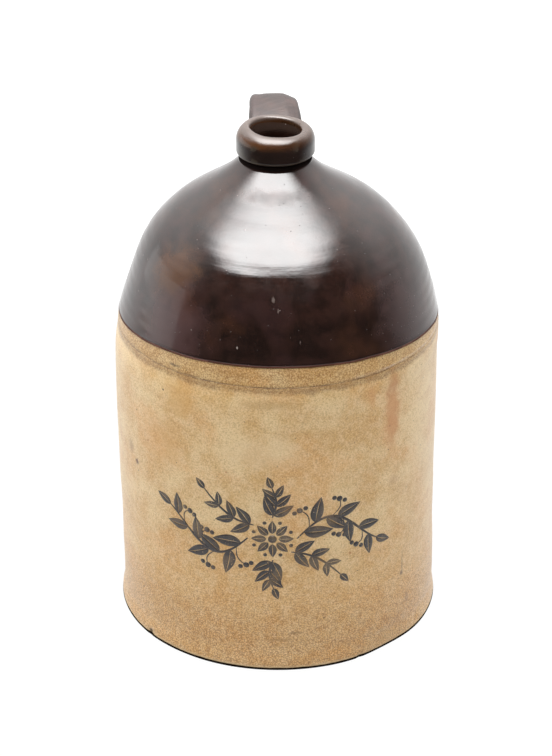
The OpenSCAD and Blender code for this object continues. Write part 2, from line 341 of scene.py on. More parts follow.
outer = [at(FLOOR_R, 0), at(BODY_R - FOOT_ROUND - FOOT_FLAT, 0)]
outer += arc(at(BODY_R - FOOT_ROUND, FOOT_ROUND), FOOT_ROUND, -math.pi / 2, 0, 6)
for i in range(1, ROWS + 1):
    z = FOOT_ROUND + (SEAM_Z - SCORE_H - FOOT_ROUND) * i / ROWS
    outer.append(at(wall_r(z), z))
score_low = at(band_r - SCORE_D, SEAM_Z)
outer += [at(band_r - SCORE_SIDE, SEAM_Z - SCORE_RISE), score_low]
inner = [at(BODY_R - WALL_T, SEAM_Z), at(BODY_R - WALL_T, FLOOR_T), at(0, FLOOR_T), at(0, 0)]
floor_line = evenly([at(0, 0), at(FLOOR_R, 0)], FLOOR_ROW)[1:-1]
bm = spun(outer + evenly(inner, INNER_ROW) + floor_line)
for vert in bm.verts:
    r = math.hypot(vert.co.x, vert.co.y)
    if r > BODY_R - SKIN_DEPTH:
        share = 1 - dent(vert.co) / r
        moved = wander(vert.co)
        vert.co = Vector((moved.x * share, moved.y * share, moved.z))
wall = piece(bm, "stoneware_wall")
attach(wall, "root")
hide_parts("body_wall", "base_disc")

# %% [markdown]
# The dome is a second pot, thrown upside down and set on the first. Only a finger's breadth of
# its clay shows, between the scored seam and the edge of the glaze, but it is made whole, because
# the glaze has to lie on something. Its inner face keeps true, so that the lining still fits it.

# %% Dome
JOINT_H = 6 * MM
JOINT_STEP = 4 * MM
outer = [score_low, at(band_r - SCORE_SIDE, SEAM_Z + SCORE_RISE)]
outer += evenly(dome_outline(SEAM_Z + SCORE_H, FLARE_R, 0), ROW_H)
outer += neck_outline(DRUM_Z, 0)[1:] + [at(TUBE_R, DRUM_Z)]
inner = dome_outline(SEAM_Z + JOINT_H, TUBE_R, DOME_T)
inner.reverse()
inner.append(at(BODY_R - WALL_T + JOINT_STEP, SEAM_Z))
bm = spun(outer + inner)
bm.normal_update()
for vert in bm.verts:
    if vert.normal.dot(Vector((vert.co.x, vert.co.y, BODY_R))) > 0 or vert.co.z < SEAM_Z + MERGE:
        vert.co = lean(vert.co)
dome = piece(bm, "stoneware_dome")
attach(dome, "root")
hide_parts("shoulder_dome")

# %% [markdown]
# The glaze is a skin half a millimetre thick, which runs over the dome and up under the lip. The
# potter held the jug by its foot and dipped it, so the edge is a level line seen on a leaning pot:
# straight, but tilted against the seam. The skin is spun, cut with one tilted plane by
# bisect_plane, and given its thickness by a Solidify modifier. A slow wave is taken out of the
# heights before the cut and put back after it, which makes the cut edge wave. Each point also
# remembers how far it lies above the edge, so that the material can darken the last millimetre,
# where the glaze gathered.

# %% Dome glaze
DIP_H = 4.0 * MM
DIP_TILT = math.radians(4.8)
DIP_ROLL = math.radians(0.5)
EDGE_WAVE = 0.45 * MM
EDGE_WAVE_L = 22 * MM
WAVE_ENDS = (240 * MM, 260 * MM)
EDGE_NAME = "above_edge"
SKIN_SHARE = 0.94
SKIN_ROWS = [(186 + 2.2 * i) * MM for i in range(12)]
SKIN_START = 0.5 * MM
SKIN_END = 0.6 * MM
EDGE_CUT = 0.01 * MM
dip_normal = Vector((math.sin(DIP_ROLL), math.sin(DIP_TILT), math.cos(DIP_TILT)))
dip_point = Vector((0, 0, SEAM_Z + DIP_H))


def edge_wave(co):
    """Height by which the glaze edge waves at a point."""
    wave = noise.noise(Vector((co.x, co.y, 0)) / EDGE_WAVE_L)
    return EDGE_WAVE * wave * (1 - calm(co.z, *WAVE_ENDS))


def face_out(bm, middle):
    """Turns over the faces that look towards a middle point."""
    bm.normal_update()
    for face in bm.faces:
        if face.normal.dot(face.calc_center_median() - middle) < 0:
            face.normal_flip()


def thicken(obj, thickness):
    """Gives a skin its thickness, inwards from its outer face."""
    skin = obj.modifiers.new("thickness", "SOLIDIFY")
    skin.thickness = thickness
    skin.offset = -1


def sliced(bm, place, away, **side):
    """Cuts a bmesh with a plane and clears one side of it."""
    geom = bm.verts[:] + bm.edges[:] + bm.faces[:]
    return bmesh.ops.bisect_plane(bm, geom=geom, plane_co=place, plane_no=away, **side)["geom_cut"]


outer = [at(wall_r(z) + GLAZE_T, z) for z in SKIN_ROWS]
outer += evenly(dome_outline(SEAM_Z + SKIN_START, FLARE_R, -GLAZE_T), ROW_H)
outer += neck_outline(LIP_Z + SKIN_END, -GLAZE_T)[1:]
bm = spun(outer, closed=False)
for vert in bm.verts:
    vert.co.z -= edge_wave(vert.co)
sliced(bm, dip_point, dip_normal, dist=EDGE_CUT, clear_inner=True)
above = bm.verts.layers.float.new(EDGE_NAME)
for vert in bm.verts:
    vert[above] = (vert.co - dip_point).dot(dip_normal) / MM
    vert.co.z += edge_wave(vert.co)
shaped(bm, lean)
face_out(bm, Vector((0, 0, SEAM_Z)))
coat = piece(bm, "dome_glaze")
thicken(coat, GLAZE_T * SKIN_SHARE)
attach(coat, "root")
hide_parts("dome_glaze_coat")
print("the glaze comes down to", round(min(v.co.z for v in coat.data.vertices) * 1000, 1), "mm")

# %% [markdown]
# The neck is a short drum between the dome and the lip. Outside it is hidden under the glaze. Its
# inside is the throat, a straight bore that opens downwards with a rounded edge. The lip is a fat
# roll of clay folded over the neck's end.

# %% Neck and throat
CROWN_H = 9 * MM
CROWN_R = 18.5 * MM
MOUTH_ROUND = 2 * MM
LINING_T = 0.5 * MM
DRUM_LAP = 1 * MM
DRUM_ROW = 1 * MM
SOCKET_LOW = 4 * MM
SOCKET_TOP = TOP_Z - 4 * MM
BORE_TOP = TOP_Z - 7 * MM
BORE_ROW = 3 * MM
NECK_STEPS = 160
throat_c = at(TUBE_R, cone_z(TUBE_R, DOME_T + LINING_T - THROAT_ROUND))
outer = evenly([at(NECK_R, DRUM_Z), at(NECK_R, LIP_Z + DRUM_LAP)], DRUM_ROW)
inner = [at(TUBE_R, LIP_Z + SOCKET_LOW), at(TUBE_R, SOCKET_TOP), at(BORE_R, SOCKET_TOP)]
inner += evenly([at(BORE_R, BORE_TOP), at(BORE_R, throat_c.y)], BORE_ROW)
inner += arc(throat_c, THROAT_ROUND, math.pi, math.pi + CONE_LEAN, 8)[1:]
inner += [at(TUBE_R, THROAT_LOW), at(TUBE_R, DRUM_Z)]
bm = spun(outer + inner, NECK_STEPS)
shaped(bm, lean)
neck = piece(bm, "neck_and_throat")
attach(neck, "root")
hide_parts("neck")

# %% Lip roll
LIP_UNDER = LIP_R - NECK_R
LIP_LAP = 0.2 * MM
LIP_ROW = 1.2 * MM
LIP_BORE = TOP_Z - 3 * MM
LIP_IN = TOP_Z - 4.2 * MM
LIP_STEPS = 192
crown_c = at(CROWN_R, TOP_Z - CROWN_H)


def crown(inset, steps):
    """The lip's rounded shoulder, from its side up to its top, set in by inset."""
    half_w = LIP_R - CROWN_R - inset
    half_h = CROWN_H - inset
    angles = [math.pi / 2 * i / steps for i in range(1, steps + 1)]
    return [crown_c + at(half_w * math.cos(a), half_h * math.sin(a)) for a in angles]


outer = [at(TUBE_R, LIP_Z), at(NECK_R - LIP_LAP, LIP_Z)]
outer += arc(at(NECK_R, LIP_Z + LIP_UNDER), LIP_UNDER, -math.pi / 2, 0, 8)
outer += evenly([outer[-1], at(LIP_R, TOP_Z - CROWN_H)], LIP_ROW)[1:]
outer += crown(0, 20)
outer += arc(at(BORE_R + MOUTH_ROUND, TOP_Z - MOUTH_ROUND), MOUTH_ROUND, math.pi / 2, math.pi, 8)[1:]
outer += [at(BORE_R, LIP_BORE), at(BORE_R, LIP_IN), at(TUBE_R, LIP_IN)]
bm = spun(outer, LIP_STEPS)
shaped(bm, lean)
lip = piece(bm, "lip_roll")
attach(lip, "root")
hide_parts("lip_collar")

# %% [markdown]
# The handle is a pulled strap: a flat ribbon of clay with soft grooves left by the fingers. Its
# middle line is a rise, a fall, a short leg and an outward turn on to the shoulder. A section is
# drawn once at each station of the line and bridged to the one before, and its width follows the
# place on the line. One long edge was pressed flatter than the other, as the bevel shows.

# %% The strap's middle line
STRAP_T = 11 * MM
STRAP_W_NECK = 35.5 * MM
STRAP_SHIFT = 1.1 * MM
STRAP_W = 32.4 * MM
STRAP_WAIST = 4 * MM
STRAP_W_FOOT = 32 * MM
TOE_W = 10 * MM
CREST_Y = 47.3 * MM
RISE_R = 55 * MM
RISE_A = math.radians(25)
FALL_R = 38.1 * MM
FALL_A = math.radians(94)
LEG_L = 14.5 * MM
TOE_R = 45 * MM
TOE_A = math.radians(32)
TIP_L = 14 * MM
ROOT_L = 4 * MM
ROOT_T = 5 * MM
ROOT_FLARE = 2 * MM
ROOT_GROOVE = 0.2
ROOT_RUN = 0.55
WAIST_RUN = 0.8
TOE_THIN = 0.15
TIP_THIN = 0.6
TIP_TAPER = 0.8
CREST_DROP = 0.3 * MM
CREST_Z = TOP_Z - CREST_DROP - STRAP_T / 2
RISE_STEPS = 14
FALL_STEPS = 32
LEG_STEPS = 6
TOE_STEPS = 12
TIP_STEPS = 8


def polar(centre, radius, angle):
    """The point on a circle in the YZ plane at an angle turned forwards from straight up."""
    return centre + radius * at(math.sin(angle), math.cos(angle))


def across(ahead):
    """The direction square to another, on its left."""
    return at(-ahead.y, ahead.x)


def strap_line():
    """Stations along the strap: (y, z, climb angle, width, thickness, groove depth share)."""
    line = []
    rise_c = at(CREST_Y, CREST_Z - RISE_R)
    start = polar(rise_c, RISE_R, -RISE_A)
    back = ray(RISE_A)
    for far in (1.0, 0.5):
        low = start - back * ROOT_L * far - across(back) * ROOT_T / 2
        line.append((*low, RISE_A, STRAP_W_NECK + ROOT_FLARE * far, STRAP_T + ROOT_T, ROOT_GROOVE))
    for i in range(RISE_STEPS):
        a = RISE_A * (1 - i / RISE_STEPS)
        thicker = ROOT_T * (1 - calm(i / RISE_STEPS, 0, ROOT_RUN))
        wide = STRAP_W + (STRAP_W_NECK - STRAP_W) * (1 - i / RISE_STEPS)
        line.append((*polar(rise_c, RISE_R - thicker / 2, -a), a, wide, STRAP_T + thicker, 1))
    fall_c = at(CREST_Y, CREST_Z - FALL_R)
    for i in range(FALL_STEPS + 1):
        a = FALL_A * i / FALL_STEPS
        wide = STRAP_W - STRAP_WAIST * calm(i / FALL_STEPS, 0, WAIST_RUN)
        line.append((*polar(fall_c, FALL_R, a), -a, wide, STRAP_T, 1))
    leg = Vector(line[-1][:2])
    down = at(math.cos(FALL_A), -math.sin(FALL_A))
    narrow = line[-1][3]
    for i in range(1, LEG_STEPS + 1):
        wide = narrow + (STRAP_W_FOOT - narrow) * calm(i / LEG_STEPS, 0, 1)
        line.append((*(leg + down * LEG_L * i / LEG_STEPS), -FALL_A, wide, STRAP_T, 1))
    toe_c = polar(Vector(line[-1][:2]), TOE_R, FALL_A)
    for i in range(1, TOE_STEPS + 1):
        a = TOE_A * i / TOE_STEPS
        flare = calm(i / TOE_STEPS, 0, 1)
        line.append((*polar(toe_c, -TOE_R, FALL_A - a), a - FALL_A, STRAP_W_FOOT + TOE_W * flare,
                     STRAP_T * (1 - TOE_THIN * flare), 1 - flare))
    tip = Vector(line[-1][:2])
    out = ray(TOE_A - FALL_A)
    for i in range(1, TIP_STEPS + 1):
        u = i / TIP_STEPS
        wide = (STRAP_W_FOOT + TOE_W) * math.sqrt(1 - TIP_TAPER * u ** 3)
        thick = STRAP_T * (1 - TOE_THIN - TIP_THIN * u)
        line.append((*(tip + out * TIP_L * u), TOE_A - FALL_A, wide, thick, 0))
    return line


print("the strap has", len(strap_line()), "stations")

# %% The strap, its sections bridged one to the next
GROOVE_D = 0.35 * MM
GROOVE_W = 3.2 * MM
GROOVE_IN = 7 * MM
GROOVE_STEEP = 3
EDGE_W = 3.6 * MM
BEVEL_W = 6.5 * MM
BEVEL_D = 5.5 * MM
FACE_RISE = 0.4 * MM
FACE_STEPS = 30
RIM_STEPS = 10
UNDER_STEPS = 8


def section(width, thick, grooved):
    """Points [across, out] of a section: a strap with two soft grooves and one bevelled edge."""
    reach = width / 2 - EDGE_W
    bevel = BEVEL_D * min(1, thick / STRAP_T)

    def top(u):
        off = (abs(u) - (width / 2 - GROOVE_IN)) / GROOVE_W
        groove = grooved * GROOVE_D * math.exp(-off * off * GROOVE_STEEP)
        over = max(0.0, u - reach + BEVEL_W) / (BEVEL_W + EDGE_W)
        return thick / 2 + FACE_RISE * (1 - (u / reach) ** 2) - groove - bevel * over ** 2

    def rim(side):
        middle = (top(side * reach) - thick / 2) / 2
        high = (top(side * reach) + thick / 2) / 2
        return [at(side * (reach + EDGE_W * math.sin(a)), middle + high * math.cos(a))
                for a in [math.pi * i / RIM_STEPS for i in range(1, RIM_STEPS)]]

    face = [at(u, top(u)) for u in [reach * (1 - 2 * i / FACE_STEPS) for i in range(FACE_STEPS + 1)]]
    under = [at(reach * (2 * i / UNDER_STEPS - 1), -thick / 2) for i in range(UNDER_STEPS + 1)]
    return face + rim(-1) + under + rim(1)[::-1]


strap = bmesh.new()
last = None
for y, z, climb, width, thick, grooved in strap_line():
    loop = [strap.verts.new((p.x + STRAP_SHIFT, y - p.y * math.sin(climb), z + p.y * math.cos(climb)))
            for p in section(width, thick, grooved)]
    edges = [strap.edges.new(pair) for pair in zip(loop, loop[1:] + loop[:1])]
    if last:
        bmesh.ops.bridge_loops(strap, edges=last + edges)
    else:
        bmesh.ops.contextual_create(strap, geom=edges)
    last = edges
bmesh.ops.contextual_create(strap, geom=last)
bmesh.ops.recalc_face_normals(strap, faces=strap.faces)
shaped(strap, wander)
print("the bridged strap has", len(strap.faces), "faces")

# %% [markdown]
# A potter smears the ends of the strap into the jug with a wet thumb. Here a shallow block of the
# jug's own face, sunk a little under the glaze, is joined to the strap by a voxel remesh, which
# makes one skin of both. All of its points are smoothed once, and then only those close to both old
# surfaces, in smaller and smaller reaches, so that the crease rises out of the glaze as a fillet.

# %% The block of the jug's face behind the neck
SUNK = 0.22 * MM
BLOCK_T = 5 * MM
BLOCK_X = 33 * MM
BLOCK_Y = 8 * MM
BLOCK_LOW = 236 * MM
BLOCK_ROWS = 16
BLOCK_CUT = 0.001 * MM
CORNER_IN = 1.4 * MM
CORNER_H = 2 * MM
outer = dome_outline(BLOCK_LOW, FLARE_R, -GLAZE_T + SUNK, BLOCK_ROWS)
outer += neck_outline(LIP_Z + SUNK, -GLAZE_T + SUNK)[1:] + [at(LIP_R - CORNER_IN, LIP_Z + SUNK)]
outer += [at(LIP_R - SUNK, LIP_Z + CORNER_H), at(LIP_R - SUNK, TOP_Z - CROWN_H)]
outer += crown(SUNK, 8) + [at(CROWN_R, fillet_c.y)]
outer += dome_outline(BLOCK_LOW + BLOCK_T, NECK_R, BLOCK_T, BLOCK_ROWS)[::-1]
block = spun(outer, LIP_STEPS)
shaped(block, lean)
for x, y, away in ((BLOCK_X, 0, (1, 0, 0)), (-BLOCK_X, 0, (-1, 0, 0)), (0, BLOCK_Y, (0, -1, 0))):
    cut = sliced(block, (x, y, 0), away, dist=BLOCK_CUT, clear_outer=True)
    bmesh.ops.holes_fill(block, edges=[g for g in cut if isinstance(g, bmesh.types.BMEdge)])
bmesh.ops.recalc_face_normals(block, faces=block.faces)
open_edges = [e for e in block.edges if len(e.link_faces) != 2]
print("the block has", len(block.faces), "faces and", len(open_edges), "open edges")

# %% One skin, and its crease smoothed
VOXEL = 0.7 * MM
SMOOTH = 0.5
# Each row is a reach in millimetres, and how often the points within it of both surfaces move.
CREASES = ((math.inf, 1), (6.5, 12), (5, 14), (3.5, 14))
strap_tree = BVHTree.FromBMesh(strap)
block_tree = BVHTree.FromBMesh(block)
both = bpy.data.meshes.new("strap_and_block")
block.to_mesh(both)
strap.from_mesh(both)
block.free()
strap.to_mesh(both)
strap.free()
rough_strap = bpy.data.objects.new("strap_and_block", both)
bpy.context.scene.collection.objects.link(rough_strap)
remesh = rough_strap.modifiers.new("one_skin", "REMESH")
remesh.mode = "VOXEL"
remesh.voxel_size = VOXEL
bm = bmesh.new()
bm.from_object(rough_strap, bpy.context.evaluated_depsgraph_get())
bpy.data.objects.remove(rough_strap)
near = {}
for vert in bm.verts:
    near[vert] = max(strap_tree.find_nearest(vert.co)[3], block_tree.find_nearest(vert.co)[3]) / MM
for reach, rounds in CREASES:
    crease = [vert for vert in bm.verts if near[vert] < reach]
    for _ in range(rounds):
        bmesh.ops.smooth_vert(bm, verts=crease, factor=SMOOTH,
                              use_axis_x=True, use_axis_y=True, use_axis_z=True)
strap_piece = piece(bm, "strap_handle_pulled")
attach(strap_piece, "root")
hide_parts("strap_handle", "handle_neck_wad", "handle_shoulder_wad")

# %% [markdown]
# The front carries a printed ornament in blue-black ink: a rosette with a wavy leafy spray on
# either side and small sprigs between them. One half is drawn flat, with grids for the leaves and
# extruded edges for the stems, and turned about the middle for the other half. Then the whole is
# laid round the wall. The grids are fine enough to bend with the wall, and the print stands a
# tenth of a millimetre proud of it.

# %% Flat drawing helpers
PRINT_ANGLE = math.radians(-94)
PRINT_Z = 102 * MM
PRINT_LIFT = 0.12 * MM
VEIN = 0.22 * MM
LEAF_CELLS = (12, 3)
LEAF_BELLY = 0.75
LEAF_POINT = 0.9
DOT_SIDES = 14
PEN_STEP = 0.02
PEN_END = 0.45
PEN_SWELL = 0.55


def placed(verts, x, y, turn):
    """Turns flat points and moves them to a place, both in the drawing's plane."""
    for vert in verts:
        flat = vert.co.to_2d()
        vert.co = (x + flat.x * math.cos(turn) - flat.y * math.sin(turn),
                   y + flat.x * math.sin(turn) + flat.y * math.cos(turn), 0)


def leaf(bm, x, y, turn, length, width, bend):
    """A pointed leaf in two halves with a bare vein between them."""
    cells_x, cells_y = LEAF_CELLS
    for side in (1, -1):
        verts = bmesh.ops.create_grid(bm, x_segments=cells_x, y_segments=cells_y, size=1)["verts"]
        for vert in verts:
            far = (vert.co.x + 1) / 2
            off = (vert.co.y + 1) / 2
            half = width * math.sin(math.pi * far ** LEAF_BELLY) ** LEAF_POINT if 0 < far < 1 else 0
            vert.co.x = far * length
            vert.co.y = side * (VEIN * math.sin(math.pi * far) + off * half) + bend * length * far * far
        placed(verts, x, y, turn)


def dot(bm, x, y, radius):
    """A round berry."""
    verts = bmesh.ops.create_circle(bm, cap_ends=True, segments=DOT_SIDES, radius=radius)["verts"]
    placed(verts, x, y, 0)


def stroke(bm, path, width, steps=40):
    """A pen stroke that swells in its middle, extruded along a path of 0 to 1."""
    edge = None
    for i in range(steps + 1):
        t = i / steps
        ahead = (path(min(1, t + PEN_STEP)) - path(max(0, t - PEN_STEP))).normalized()
        half = width * (PEN_END + PEN_SWELL * math.sin(math.pi * t)) / 2
        aside = across(ahead) * half
        sides = [path(t) + aside, path(t) - aside]
        if edge is None:
            pair = [bm.verts.new((*side, 0)) for side in sides]
            edge = bm.edges.new(pair)
        else:
            grown = bmesh.ops.extrude_edge_only(bm, edges=[edge])["geom"]
            edge = next(g for g in grown if isinstance(g, bmesh.types.BMEdge))
            pair = sorted(edge.verts, key=lambda v: (v.co - pair[0].co).length)
            for vert, side in zip(pair, sides):
                vert.co = (*side, 0)


# %% The sprays, the sprigs and the rosette
ROSETTE_R = 13 * MM
SPRAY_RUN = 56 * MM
SPRAY_WAVE = 14 * MM
SPRAY_TURN = 1.3 * math.pi
STEM_GAP = 3 * MM
SPRAY_SPREAD = math.radians(52)
SPRIG_RISE = 22 * MM
SPRIG_BOW = 2.5 * MM
SPRIG_SPREAD = math.radians(50)
PETALS = 8
PETAL_IN = 3.9 * MM
PETAL_L = 10 * MM
PETAL_W = 2.5 * MM
BEAD_R = 1.3 * MM
HEART_R = 2.9 * MM


def spray_stem(t):
    """The stem of the right-hand spray: one long lazy wave."""
    return at(ROSETTE_R + STEM_GAP + SPRAY_RUN * t, SPRAY_WAVE * math.sin(SPRAY_TURN * t))


def sprig_stem(t):
    """The stem of the upper sprig, which bows a little to one side."""
    return at(SPRIG_BOW * math.sin(math.pi * t), ROSETTE_R + STEM_GAP + SPRIG_RISE * t)


def side_stem(t):
    """The stem of the small sprig that fills the hollow under the right-hand spray."""
    return at(12 + 33 * t, -10 - 22 * t + 5 * math.sin(math.pi * t)) * MM


def heading(path, t):
    """The direction of a path at t, and its angle."""
    ahead = (path(t + 0.01) - path(t - 0.01)).normalized()
    return ahead, math.atan2(ahead.y, ahead.x)


def tip_leaf(bm, path, length, width, bend):
    """The leaf that ends a stem."""
    leaf(bm, *path(1), heading(path, 0.99)[1], length, width, bend)


def twig(bm, here, ahead, side, far):
    """A thin bowed twig with three berries at its end."""
    out = across(ahead) * side
    end = here + out * far + ahead * 4 * MM
    stroke(bm, lambda s: here.lerp(end, s) + ahead * 3 * MM * math.sin(math.pi * s), 0.8 * MM, 12)
    for along_by, out_by, radius in ((0, 0, 2.0), (3.9, -1.4, 1.6), (-3.7, 0.8, 1.6)):
        dot(bm, *(end + ahead * along_by * MM + out * out_by * MM), radius * MM)


def spray(bm):
    """One spray: a stem, leaves in turn on both sides, twigs with berries and a last leaf."""
    stroke(bm, spray_stem, 1.9 * MM)
    for i in range(7):
        t = 0.08 + 0.135 * i
        side = 1 if i % 2 else -1
        size = 1 - 0.25 * t
        turn = heading(spray_stem, t)[1] + side * SPRAY_SPREAD
        leaf(bm, *spray_stem(t), turn, 20 * MM * size, 4.3 * MM * size, -0.12 * side)
    for t, side in ((0.14, 1), (0.41, 1), (0.55, -1), (0.80, -1)):
        twig(bm, spray_stem(t), heading(spray_stem, t)[0], side, (15 - 6 * t) * MM)
    tip_leaf(bm, spray_stem, 13 * MM, 2.9 * MM, 0.12)


def sprig(bm, path):
    """A small straight sprig with its leaves in pairs."""
    stroke(bm, path, 1.6 * MM)
    for t, length in ((0.08, 15), (0.40, 13), (0.70, 10.5)):
        for side in (1, -1):
            turn = heading(path, t)[1] + SPRIG_SPREAD * side
            leaf(bm, *path(t), turn, length * MM, length * 0.21 * MM, -0.14 * side)
    tip_leaf(bm, path, 9 * MM, 2.2 * MM, 0)


flat = bmesh.new()
spray(flat)
sprig(flat, sprig_stem)
sprig(flat, side_stem)
half = bpy.data.meshes.new("print_half")
flat.to_mesh(half)
for vert in flat.verts:
    vert.co = (-vert.co.x, -vert.co.y, 0)
flat.from_mesh(half)
bpy.data.meshes.remove(half)
for i in range(PETALS):
    turn = math.tau * i / PETALS
    leaf(flat, *(ray(turn) * PETAL_IN), turn, PETAL_L, PETAL_W, 0)
    dot(flat, *(ray(turn + math.pi / PETALS) * ROSETTE_R), BEAD_R)
dot(flat, 0, 0, HEART_R)
print("the flat print has", len(flat.faces), "faces")

# %% The print laid on the wall
PRINT_T = 0.06 * MM
for vert in flat.verts:
    a = PRINT_ANGLE + vert.co.x / BODY_R
    z = PRINT_Z + vert.co.y
    r = wall_r(z) + PRINT_LIFT
    vert.co = wander(Vector((r * math.cos(a), r * math.sin(a), z)))
face_out(flat, Vector((0, 0, 0)))
ornament = piece(flat, "leaf_spray_print")
thicken(ornament, PRINT_T)
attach(ornament, "root")

# %% [markdown]
# The finishes come last. Every one is drawn with nodes on the object's own coordinates, scaled to
# millimetres so that a noise can be given the size of its features. First come short helpers,
# which add a node to the tree that their inputs come from, and then groups for the effects that
# several finishes share. A finish keeps its colour, roughness and height in a small table, looks.

# %% Node helpers
def seen(red, green, blue):
    """The linear colour that a screen shows as these 0 to 255 values."""
    return (*(((v / 255 + 0.055) / 1.055) ** 2.4 for v in (red, green, blue)), 1)


def node(kind, inputs=None, tree=None, **settings):
    """Adds a node to a given tree, or to that of its first link, and sets or links its inputs."""
    inputs = inputs or {}
    links = {key: value for key, value in inputs.items() if isinstance(value, bpy.types.NodeSocket)}
    tree = tree or next(iter(links.values())).id_data
    made = tree.nodes.new("ShaderNode" + kind)
    for name, value in settings.items():
        setattr(made, name, value)
    for key, value in inputs.items():
        if key in links:
            tree.links.new(value, made.inputs[key])
        else:
            made.inputs[key].default_value = value
    return made


def maths(operation, a, b=0.0, c=0.0):
    """One operation on numbers."""
    return node("Math", {0: a, 1: b, 2: c}, operation=operation).outputs[0]


def times(a, b, plus=None):
    """A product, and a third number added to it if one is given."""
    return maths("MULTIPLY", a, b) if plus is None else maths("MULTIPLY_ADD", a, b, plus)


def vectors(operation, a, b, c=(0, 0, 0)):
    """One operation on places or directions."""
    return node("VectorMath", {0: a, 1: b, 2: c}, operation=operation).outputs[0]


def span(value, low, high, to_low=0.0, to_high=1.0):
    """Eases a value from its own range into another, and holds it at the ends."""
    inputs = {"Value": value, "From Min": low, "From Max": high, "To Min": to_low, "To Max": to_high}
    return node("MapRange", inputs, interpolation_type="SMOOTHSTEP").outputs["Result"]


def close_to(value, middle, far=0.9, near_by=0.2):
    """1 where a value is close to a middle one, and 0 where it is far from it."""
    return span(maths("ABSOLUTE", maths("SUBTRACT", value, middle)), far, near_by)


def axis(place, which):
    """One coordinate of a place: 0 for x, 1 for y, 2 for z."""
    return node("SeparateXYZ", {0: place}).outputs[which]


def squeezed(place, *scale):
    """A place scaled along each axis, which draws out a pattern along the axis with the least."""
    return node("Mapping", {"Vector": place, "Scale": scale}).outputs[0]


def tint(share, under, over):
    """Lays one colour over another by a share."""
    return node("Mix", {0: share, 6: under, 7: over}, data_type="RGBA").outputs[2]


def lay(looks, shade, mask, share=None):
    """Lays a colour, given as the screen shows it, over the colour of a finish."""
    mask = mask if share is None else times(mask, share)
    looks["Colour"] = tint(mask, looks["Colour"], seen(*shade))


def plain_noise(place, scale, detail):
    """Noise whose scale may be a socket: its Fac, and its Color with a channel for each axis."""
    return node("TexNoise", {"Vector": place, "Scale": scale, "Detail": detail}).outputs


def grain(place, size, detail=2.0, seed=0.0):
    """Noise from 0 to 1 whose features are about size millimetres across."""
    inputs = {"Vector": place, "Scale": 1 / size, "Detail": detail, "W": seed}
    return node("TexNoise", inputs, noise_dimensions="4D").outputs[0]


LOOKS = {"Colour": "Color", "Roughness": "Float", "Height": "Float"}


def new_group(name, puts_out, **takes):
    """An empty node group that takes a place and the named values, and its inner sockets."""
    tree = bpy.data.node_groups.new(name, "ShaderNodeTree")
    for label, value in {"Vector": (0, 0, 0), **takes}.items():
        kind = "Vector" if isinstance(value, tuple) else "Float"
        socket = tree.interface.new_socket(name=label, in_out="INPUT", socket_type="NodeSocket" + kind)
        socket.default_value = value
    for label, kind in puts_out.items():
        tree.interface.new_socket(name=label, in_out="OUTPUT", socket_type="NodeSocket" + kind)
    return tree, tree.nodes.new("NodeGroupInput").outputs, tree.nodes.new("NodeGroupOutput").inputs


def put_out(out, looks):
    """Links what a group has made to its outputs."""
    for name, socket in looks.items():
        socket.id_data.links.new(socket, out[name])


print("buff in linear values", [round(v, 3) for v in seen(204, 170, 122)])

# %% [markdown]
# Small round marks, such as iron spots, pin holes and pale specks, are cells of a Voronoi pattern
# of which only a share is used. Single stains are soft blobs round a point, with a ragged edge.

# %% Groups for spots and stains
spots, given, out = new_group("kiln_spots", {"Mask": "Float"},
                              Spacing=9.0, Size=0.7, Share=0.3, Ragged=0.5)
place = given["Vector"]
rough = vectors("SUBTRACT", plain_noise(place, 0.9, 1.0)["Color"], (0.5, 0.5, 0.5))
per_cell = maths("DIVIDE", 1.0, given["Spacing"])
cells = vectors("MULTIPLY", vectors("MULTIPLY_ADD", rough, given["Ragged"], place), per_cell)
cell = node("TexVoronoi", {"Vector": cells, "Scale": 1.0}).outputs
lots = node("SeparateColor", {0: cell["Color"]}).outputs
radius = times(times(given["Size"], per_cell), times(lots[1], 0.6, 0.4))
inside = span(cell["Distance"], radius, times(radius, 0.45))
put_out(out, {"Mask": times(maths("LESS_THAN", lots[0], given["Share"]), inside)})

stain, given, out = new_group("one_stain", {"Mask": "Float"}, Centre=(0, 0, 0), Reach=(5, 5, 5),
                              Ragged=0.5, Grain=4.0)
place = given["Vector"]
off = vectors("DIVIDE", vectors("SUBTRACT", place, given["Centre"]), given["Reach"])
far = node("VectorMath", {0: off}, operation="LENGTH").outputs["Value"]
per_grain = maths("DIVIDE", 1.0, given["Grain"])
fray = times(maths("SUBTRACT", plain_noise(place, per_grain, 3.0)[0], 0.5), given["Ragged"])
put_out(out, {"Mask": span(maths("ADD", far, fray), 1.0, 0.25)})


def spot_mask(place, spacing, size, share, ragged=0.5):
    """Spots scattered over a surface."""
    inputs = {"Vector": place, "Spacing": spacing, "Size": size, "Share": share, "Ragged": ragged}
    return node("Group", inputs, node_tree=spots).outputs[0]


def stain_mask(place, centre, reach, ragged=0.5, size=4.0):
    """One soft stain round a point."""
    inputs = {"Vector": place, "Centre": centre, "Reach": reach, "Ragged": ragged, "Grain": size}
    return node("Group", inputs, node_tree=stain).outputs[0]


def on_jug(radius_at, angle, z):
    """The point, in millimetres, on the wall or the dome at an angle in degrees and a height."""
    out_from_axis = ray(math.radians(angle)) * radius_at(z * MM) / MM
    return (*out_from_axis, z)
